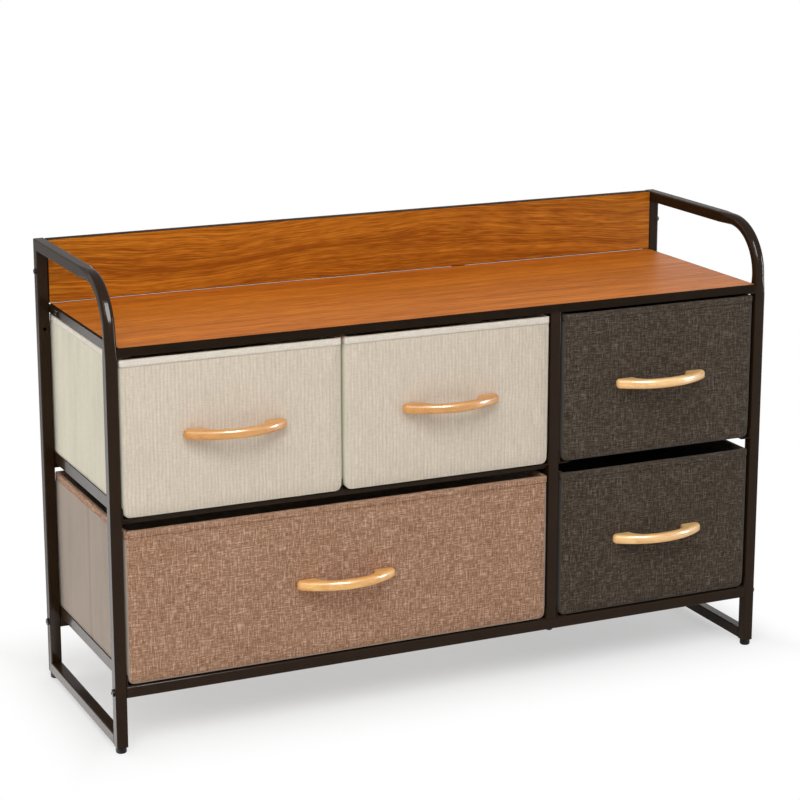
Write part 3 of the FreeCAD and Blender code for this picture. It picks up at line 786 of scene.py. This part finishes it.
class DrawerPlan:
    """Where one drawer's cloth runs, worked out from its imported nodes."""

    def __init__(self, name, sizes):
        low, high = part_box(name + "_sleeve")
        self.proud = Vector((sizes.hem_proud, sizes.hem_proud, 0))
        self.low = low + self.proud
        self.high = high - self.proud
        self.fold = (self.low.y + self.high.y) / 2
        self.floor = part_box(name + "_base_board")[1].z
        handle_low, handle_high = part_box(name + "_handle")
        middle = (handle_low + handle_high) / 2
        reach = sizes.screw_spacing / 2
        self.pads = [Vector((middle.x + side * reach, self.low.y, middle.z)) for side in (-1, 1)]

    def height_share(self, place):
        """0 at the drawer's floor and 1 at its rim."""
        return (place.z - self.low.z) / (self.high.z - self.low.z)


def bell(offset, width):
    """1 at no offset, and nearly 0 at twice the width."""
    return math.exp(-((offset / width) ** 2))


def front_swell(place, plan, sizes):
    """How far the front cloth stands out, less where the handle's pads press it flat."""
    across = (2 * place.x - plan.low.x - plan.high.x) / (plan.high.x - plan.low.x)
    up = (2 * place.z - plan.low.z - plan.high.z) / (plan.high.z - plan.low.z)
    inner = max(0.0, 1 - across**2) * max(0.0, 1 - up**2)
    swell = sizes.front_swell * inner**SWELL_POWER
    ripple = noise.noise(place * SWELL_RIPPLE_CELLS)
    swell += sizes.front_swell * SWELL_RIPPLE * ripple * min(1.0, inner * SWELL_RIPPLE_RISE)
    for pad in plan.pads:
        swell *= 1 - bell((place - pad).length, PAD_REACH)
    return swell


def side_fade(place, plan):
    """1 over most of a side's height, and 0 at the hem and at the floor."""
    up = plan.height_share(place)
    return min(1.0, HEM_FADE * (1 - up)) * min(1.0, FLOOR_FADE * up)


def side_swell(place, plan, sizes):
    """How a drawer's side sinks at its fold line and slackens beside it."""
    along = place.y - plan.fold
    half = (plan.high.y - plan.low.y) / 2
    up = plan.height_share(place)
    fade = side_fade(place, plan)
    line = sizes.crease_depth * bell(along, sizes.crease_width)
    panel = 2 * abs(along) / half - 1
    slack = SIDE_SLACK * max(0.0, 1 - panel**2) * max(0.0, 1 - (2 * up - 1) ** 2)
    across_cells, along_cells, up_cells = SIDE_CELLS
    slanted = place.y * along_cells + place.z * SIDE_SLANT
    slack += SIDE_RIPPLE * noise.noise(Vector((place.x * across_cells, slanted, place.z * up_cells))) * fade
    return slack * fade - line * fade


def settle_cloth(mesh, plan, sizes):
    """Moves each point of the outer cloth along its normal: swell, fold lines and the front's seam."""
    mesh.normal_update()
    seam = sizes.soft_edge
    moves = []
    for vert in mesh.verts:
        facing = vert.normal
        amount = max(0.0, -facing.y) ** 2 * front_swell(vert.co, plan, sizes)
        amount += facing.x**2 * side_swell(vert.co, plan, sizes)
        if facing.y > FRONT_FACING:
            amount += (1 - facing.z**2) * sizes.side_fullness * side_fade(vert.co, plan)
            amount = min(amount, sizes.side_room)
        depth = vert.co.y - plan.low.y
        if GROOVE_START * seam < depth < GROOVE_END * seam:
            amount -= GROOVE_DEPTH
        elif GROOVE_END * seam < depth < RIDGE_END * seam:
            amount += RIDGE_HEIGHT
        moves.append((vert, facing * amount))
    for vert, move in moves:
        vert.co += move


def fold_places(plan, sizes, cuts):
    """Cuts beside a side's fold line."""
    return [plan.fold + cut * sizes.crease_width for cut in cuts]


def outer_cloth(plan, sizes):
    """The outer cloth: front, sides, back and floor of the sewn box."""
    mesh = block(plan.low, plan.high)
    lower = [edge for edge in edges_along(mesh, Y_AXIS) if at_level(edge, Z_AXIS, plan.low.z)]
    round_edges(mesh, lower, sizes.lower_corner, CORNER_SEGMENTS)
    for face_level, radius in ((plan.low.y, sizes.soft_edge), (plan.high.y, sizes.back_edge)):
        outline = []
        for edge in mesh.edges:
            if at_level(edge, Y_AXIS, face_level) and not at_level(edge, Z_AXIS, plan.high.z):
                outline.append(edge)
        round_edges(mesh, outline, radius, FACE_EDGE_SEGMENTS)
    drop_faces(mesh, Z_AXIS, plan.high.z)
    slice_across(mesh, X_AXIS, evenly(plan.low.x + EDGE_ROOM, plan.high.x - EDGE_ROOM, FACE_STEP))
    slice_across(mesh, Z_AXIS, evenly(plan.low.z + EDGE_ROOM, plan.high.z, FACE_STEP))
    folds = fold_places(plan, sizes, FOLD_CUTS)
    before = evenly(plan.low.y + SEAM_ROOM, folds[0], DEPTH_STEP)
    after = evenly(folds[-1], plan.high.y - SEAM_ROOM, DEPTH_STEP)
    slice_across(mesh, Y_AXIS, before + folds + after)
    for face in mesh.faces:
        depth = face.calc_center_median().y - plan.low.y
        face.material_index = FRONT_CLOTH if depth < FRONT_SHARE * sizes.soft_edge else SIDE_CLOTH
    lay_cloth_map(mesh)
    settle_cloth(mesh, plan, sizes)
    return mesh


def lining(plan, sizes):
    """The lining inside the stiff boards, from the base board up into the hem."""
    inset = Vector((sizes.lining_inset, sizes.lining_inset, 0))
    low = plan.low + inset
    high = plan.high - inset
    low.z = plan.floor + LINING_CLEARANCE
    high.z = plan.high.z - sizes.hem_height / 2
    mesh = block(low, high)
    round_edges(mesh, edges_along(mesh, Z_AXIS), sizes.soft_edge, LINING_SEGMENTS)
    drop_faces(mesh, Z_AXIS, low.z)
    drop_faces(mesh, Z_AXIS, high.z)
    bmesh.ops.reverse_faces(mesh, faces=mesh.faces)
    slice_across(mesh, X_AXIS, evenly(low.x + EDGE_ROOM, high.x - EDGE_ROOM, LINING_STEP))
    folds = fold_places(plan, sizes, LINING_FOLD_CUTS)
    before = evenly(low.y, folds[0], LINING_STEP)
    after = evenly(folds[-1], high.y, LINING_STEP)
    slice_across(mesh, Y_AXIS, before + folds + after)
    slice_across(mesh, Z_AXIS, evenly(low.z, high.z, LINING_STEP))
    lay_cloth_map(mesh)
    for vert in mesh.verts:
        slack = LINING_SLACK * (LINING_SLACK_START + noise.noise(vert.co * LINING_CELLS))
        line = LINING_CREASE * bell(vert.co.y - plan.fold, sizes.crease_width) * vert.normal.x**2
        vert.co += vert.normal * (slack + line)
    return mesh


def hem_strip(plan, sizes):
    """The strip folded over the rim: an outer leg, a round top and an inner leg."""
    low = plan.low - plan.proud
    high = plan.high + plan.proud
    low.z = plan.high.z - sizes.hem_height
    mesh = block(low, high)
    round_edges(mesh, edges_along(mesh, Z_AXIS), sizes.soft_edge + sizes.hem_proud, HEM_CORNER_SEGMENTS)
    drop_faces(mesh, Z_AXIS, low.z)
    mesh.faces.ensure_lookup_table()
    top = [face for face in mesh.faces if face.normal.z > LEVEL_FACE]
    width = sizes.hem_proud + sizes.lining_inset + sizes.hem_thickness
    bmesh.ops.inset_region(mesh, faces=top, thickness=width, use_even_offset=True)
    rim = list(dict.fromkeys(edge for face in top for edge in face.edges))
    bmesh.ops.delete(mesh, geom=top, context="FACES_ONLY")
    leg = bmesh.ops.extrude_edge_only(mesh, edges=rim)["geom"]
    lowered = [part for part in leg if isinstance(part, bmesh.types.BMVert)]
    bmesh.ops.translate(mesh, vec=(0, 0, -sizes.hem_height * HEM_INNER_LEG), verts=lowered)
    bmesh.ops.recalc_face_normals(mesh, faces=mesh.faces)
    crests = []
    for edge in mesh.edges:
        if at_level(edge, Z_AXIS, plan.high.z) and len(edge.link_faces) == 2:
            first, second = edge.link_faces
            if first.normal.angle(second.normal) > CREST_TURN:
                crests.append(edge)
    round_edges(mesh, crests, CREST_RADIUS, CREST_SEGMENTS)
    slice_across(mesh, X_AXIS, evenly(low.x + HEM_ROOM, high.x - HEM_ROOM, HEM_STEP))
    slice_across(mesh, Y_AXIS, evenly(low.y + HEM_ROOM, high.y - HEM_ROOM, HEM_STEP))
    slice_across(mesh, Z_AXIS, evenly(low.z, high.z - CREST_ROOM, HEM_RISE))
    lay_cloth_map(mesh)
    for vert in mesh.verts:
        tuck = max(0.0, 1 - (vert.co.z - low.z) / TUCK_HEIGHT)
        ripple = HEM_RIPPLE * noise.noise(vert.co * HEM_CELLS)
        vert.co += vert.normal * (ripple - TUCK_DEPTH * tuck)
    return mesh


def hem_stitches(plan, sizes):
    """A row of stitches round the outside of the hem, just above its lower edge."""
    level = plan.high.z - sizes.hem_height * STITCH_LEVEL
    corner = sizes.soft_edge + sizes.hem_proud + sizes.stitch_length
    turn = Matrix.Rotation(math.radians(90), 4, "Z")
    places = []
    for y in (plan.low.y - sizes.hem_proud, plan.high.y + sizes.hem_proud):
        for x in evenly(plan.low.x + corner, plan.high.x - corner, sizes.stitch_pitch):
            places.append(Matrix.Translation((x, y, level)))
    for x in (plan.low.x - sizes.hem_proud, plan.high.x + sizes.hem_proud):
        for y in evenly(plan.low.y + corner, plan.high.y - corner, sizes.stitch_pitch):
            places.append(Matrix.Translation((x, y, level)) @ turn)
    scale = Matrix.Diagonal((sizes.stitch_length, STITCH_DEPTH, STITCH_HEIGHT, 1.0))
    mesh = bmesh.new()
    for place in places:
        bmesh.ops.create_uvsphere(
            mesh, u_segments=STITCH_SIDES, v_segments=STITCH_RINGS, radius=0.5, matrix=place @ scale
        )
    return mesh


class DRESSER_OT_drawers(bpy.types.Operator):
    """Sews the five drawers: outer cloth, lining, hem and stitches"""

    bl_idname = "dresser.drawers"
    bl_label = "Sewn drawers"

    def execute(self, context):
        sizes = context.scene.dresser_sizes
        colours = context.scene.dresser_colours
        fronts = {
            "beige": woven_cloth("beige_ribbed_cloth", colours.beige, **WEAVES["beige"]),
            "tan": woven_cloth("tan_slub_cloth", colours.tan, **WEAVES["tan"]),
            "charcoal": woven_cloth("charcoal_slub_cloth", colours.charcoal, **WEAVES["charcoal"]),
        }
        hem_cloth = woven_cloth("beige_hem_cloth", colours.beige_hem, **WEAVES["beige_hem"])
        hems = dict(fronts, beige=hem_cloth)
        felts = {}
        floors = {}
        threads = {}
        for cloth in fronts:
            side = getattr(colours, cloth + "_side")
            felts[cloth] = felted_cloth(cloth + "_felted_cloth", side)
            floors[cloth] = felted_cloth(cloth + "_floor_cloth", side, object_place)
            threads[cloth] = thread(cloth + "_thread", getattr(colours, cloth))
        for name, cloth in DRAWER_CLOTH.items():
            plan = DrawerPlan(name, sizes)
            body = name + "_drawer"
            pair = (fronts[cloth], felts[cloth])
            outside = make_piece(name + "_outer_cloth", outer_cloth(plan, sizes), pair, body)
            give_thickness(outside, sizes.cloth_thickness)
            inside = make_piece(name + "_lining", lining(plan, sizes), (felts[cloth],), body)
            give_thickness(inside, sizes.lining_thickness)
            hem = make_piece(name + "_hem", hem_strip(plan, sizes), (hems[cloth],), body)
            give_thickness(hem, sizes.hem_thickness)
            make_piece(name + "_hem_stitches", hem_stitches(plan, sizes), (threads[cloth],), body)
            for piece in (outside, inside, hem):
                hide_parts(name + "_sleeve")
            dress_node(name + "_base_board", floors[cloth])
        return {"FINISHED"}


class DRESSER_OT_frame(bpy.types.Operator):
    """Coats the tubes, angles, foot plugs and fasteners"""

    bl_idname = "dresser.frame"
    bl_label = "Frame finishes"

    def execute(self, context):
        colours = context.scene.dresser_colours
        dress_slot("frame_steel", powder_coat("brown_powder_coat", colours.steel))
        dress_slot("foot_plastic", moulded_plastic("foot_plug_plastic", colours.plastic))
        dress_slot("insert_plastic", moulded_plastic("tube_insert_plastic", colours.plastic))
        dress_slot("bolt_steel", hardware("blackened_bolt_steel", colours.bolt, metal=0.0, gloss=0.15))
        return {"FINISHED"}


class DRESSER_OT_boards(bpy.types.Operator):
    """Gives the top and back boards their wood grain and edge bands"""

    bl_idname = "dresser.boards"
    bl_label = "Board finishes"

    def execute(self, context):
        colours = context.scene.dresser_colours
        top = wood_grain("top_wood_grain", colours.wood, "Y", figure=0.025, contrast=1.5, gloss=0.09)
        dress_node("top_board", top)
        back = wood_grain("back_wood_grain", colours.back_wood, "Z", figure=0.045, contrast=1.9, gloss=0.04)
        dress_node("back_board", back)
        dress_slot("board_edging", edge_banding("dark_edge_band", colours.edging))
        return {"FINISHED"}


class DRESSER_OT_handles(bpy.types.Operator):
    """Finishes the handles, their screws and the boards inside the drawers"""

    bl_idname = "dresser.handles"
    bl_label = "Handles and inner boards"

    def execute(self, context):
        colours = context.scene.dresser_colours
        woods = {
            "beige": lacquered_wood("lacquered_handle_wood", colours.handle),
            # The wide handle's wood is painted lighter, as painted light for the less lit lower drawer
            "tan": lacquered_wood("wide_handle_wood", colours.wide_handle),
            # The right handles' wood is partly its own paler colour and partly painted light
            "charcoal": lacquered_wood("pale_handle_wood", colours.pale_handle),
        }
        for name, cloth in DRAWER_CLOTH.items():
            dress_node(name + "_handle", woods[cloth])
        dress_slot("screw_steel", hardware("zinc_screw_steel", colours.screw, metal=1.0, gloss=0.5))
        dress_slot("stiffener_board", grey_board("grey_stiffener_board", colours.card))
        return {"FINISHED"}


# Stage


def aimed(place, target):
    """The rotation that turns a lamp at a place to a target."""
    return (Vector(target) - Vector(place)).to_track_quat("-Z", "Y").to_euler()


def area_lamp(name, place, rotation, size, power):
    data = bpy.data.lights.new(name, "AREA")
    data.shape = "RECTANGLE"
    data.size, data.size_y = size
    data.energy = power
    lamp = bpy.data.objects.new(name, data)
    lamp.location = place
    lamp.rotation_euler = rotation
    bpy.context.scene.collection.objects.link(lamp)
    return lamp


def gloss_card(name, place, rotation, size, brightness):
    """A bright card that shows only in gloss, as a studio's reflectors do."""
    card = area_lamp(name, place, rotation, size, brightness * math.pi * size[0] * size[1])
    card.visible_camera = False
    card.visible_diffuse = False


def seen_directly(tree):
    """1 for what the camera sees itself, in gloss or through glass."""
    path = add_node(tree, "ShaderNodeLightPath").outputs
    gloss = worked(tree, "MAXIMUM", path["Is Glossy Ray"], path["Is Transmission Ray"])
    return worked(tree, "MAXIMUM", path["Is Camera Ray"], gloss)


def white_sky(strength):
    """A sky that is white where it is seen, and lights the scene at its own strength."""
    world = bpy.data.worlds.new("studio_sky")
    tree = empty_tree(world)
    level = spread(tree, seen_directly(tree), strength, 1.0)
    light = add_node(tree, "ShaderNodeBackground", {"Color": (1, 1, 1, 1), "Strength": level})
    add_node(tree, "ShaderNodeOutputWorld", {"Surface": light.outputs[0]})
    bpy.context.scene.world = world


def beyond(tree, value, middle, near, far):
    """0 up to a near distance from the middle, and 1 from a far one."""
    distance = worked(tree, "ABSOLUTE", worked(tree, "SUBTRACT", value, middle))
    return crisp(tree, distance, near, far)


def floor_finish(colour, white_share):
    """Matt floor that holds a shadow near the dresser and turns plain white away from it."""
    material = bpy.data.materials.new("pale_floor")
    tree = empty_tree(material)
    parts = split(tree, object_place(tree))
    beside = beyond(tree, parts["X"], *WHITE_ACROSS)
    before = beyond(tree, parts["Y"], *WHITE_ALONG)
    away = spread(tree, worked(tree, "MAXIMUM", beside, before), white_share, 1.0)
    share = worked(tree, "MULTIPLY", away, seen_directly(tree))
    matt = add_node(tree, "ShaderNodeBsdfDiffuse", {"Color": (*colour, 1.0)})
    white = add_node(tree, "ShaderNodeEmission", {"Color": (1, 1, 1, 1), "Strength": 1.0})
    both = add_node(tree, "ShaderNodeMixShader", {0: share, 1: matt.outputs[0], 2: white.outputs[0]})
    add_node(tree, "ShaderNodeOutputMaterial", {"Surface": both.outputs[0]})
    return material


def pale_floor(material):
    mesh = bmesh.new()
    bmesh.ops.create_circle(mesh, cap_ends=True, segments=FLOOR_SEGMENTS, radius=FLOOR_RADIUS)
    data = bpy.data.meshes.new("studio_floor")
    mesh.to_mesh(data)
    mesh.free()
    data.materials.append(material)
    floor = bpy.data.objects.new("studio_floor", data)
    bpy.context.scene.collection.objects.link(floor)


def photo_camera(stage):
    """The camera, where the photograph was taken from."""
    data = bpy.data.cameras.new("photo_camera")
    data.sensor_width = SENSOR_WIDTH
    data.lens = stage.lens
    data.shift_y = stage.shift
    camera = bpy.data.objects.new("photo_camera", data)
    camera.location = stage.place
    camera.rotation_euler = (math.radians(90) - stage.dip, 0.0, -stage.turn)
    bpy.context.scene.collection.objects.link(camera)
    bpy.context.scene.camera = camera


class DRESSER_OT_stage(bpy.types.Operator):
    """Sets the floor, the soft lamps and the camera"""

    bl_idname = "dresser.stage"
    bl_label = "Studio stage"

    def execute(self, context):
        stage = context.scene.dresser_stage
        context.scene.view_settings.view_transform = "Standard"
        white_sky(stage.sky)
        pale_floor(floor_finish(context.scene.dresser_colours.floor, stage.white_share))
        for name, setting, place, target, size in LAMPS:
            area_lamp(name, place, aimed(place, target), size, getattr(stage, setting))
        for name, place, target, size in STRIPS:
            gloss_card(name, place, aimed(place, target), size, stage.strip_card)
        gloss_card("floor_card", FLOOR_CARD_PLACE, FLOOR_CARD_TURN, FLOOR_CARD_SIZE, stage.floor_card)
        photo_camera(stage)
        return {"FINISHED"}


class DRESSER_PT_panel(bpy.types.Panel):
    """Lists the steps that dress the part"""

    bl_idname = "DRESSER_PT_panel"
    bl_label = "Fabric drawer dresser"
    bl_space_type = "VIEW_3D"
    bl_region_type = "UI"
    bl_category = "Dresser"

    def draw(self, context):
        for step in STEPS:
            self.layout.operator(step.bl_idname)


STEPS = (
    DRESSER_OT_stage,
    DRESSER_OT_frame,
    DRESSER_OT_boards,
    DRESSER_OT_handles,
    DRESSER_OT_drawers,
)
SETTINGS = (DresserSizes, DresserColours, DresserStage)


def register():
    for part in SETTINGS + STEPS + (DRESSER_PT_panel,):
        bpy.utils.register_class(part)
    bpy.types.Scene.dresser_sizes = PointerProperty(type=DresserSizes)
    bpy.types.Scene.dresser_colours = PointerProperty(type=DresserColours)
    bpy.types.Scene.dresser_stage = PointerProperty(type=DresserStage)


def unregister():
    del bpy.types.Scene.dresser_stage
    del bpy.types.Scene.dresser_colours
    del bpy.types.Scene.dresser_sizes
    for part in reversed(SETTINGS + STEPS + (DRESSER_PT_panel,)):
        bpy.utils.unregister_class(part)


def main():
    register()
    bpy.ops.dresser.stage()
    bpy.ops.dresser.frame()
    bpy.ops.dresser.boards()
    bpy.ops.dresser.handles()
    bpy.ops.dresser.drawers()


if __name__ == "__main__":
    main()
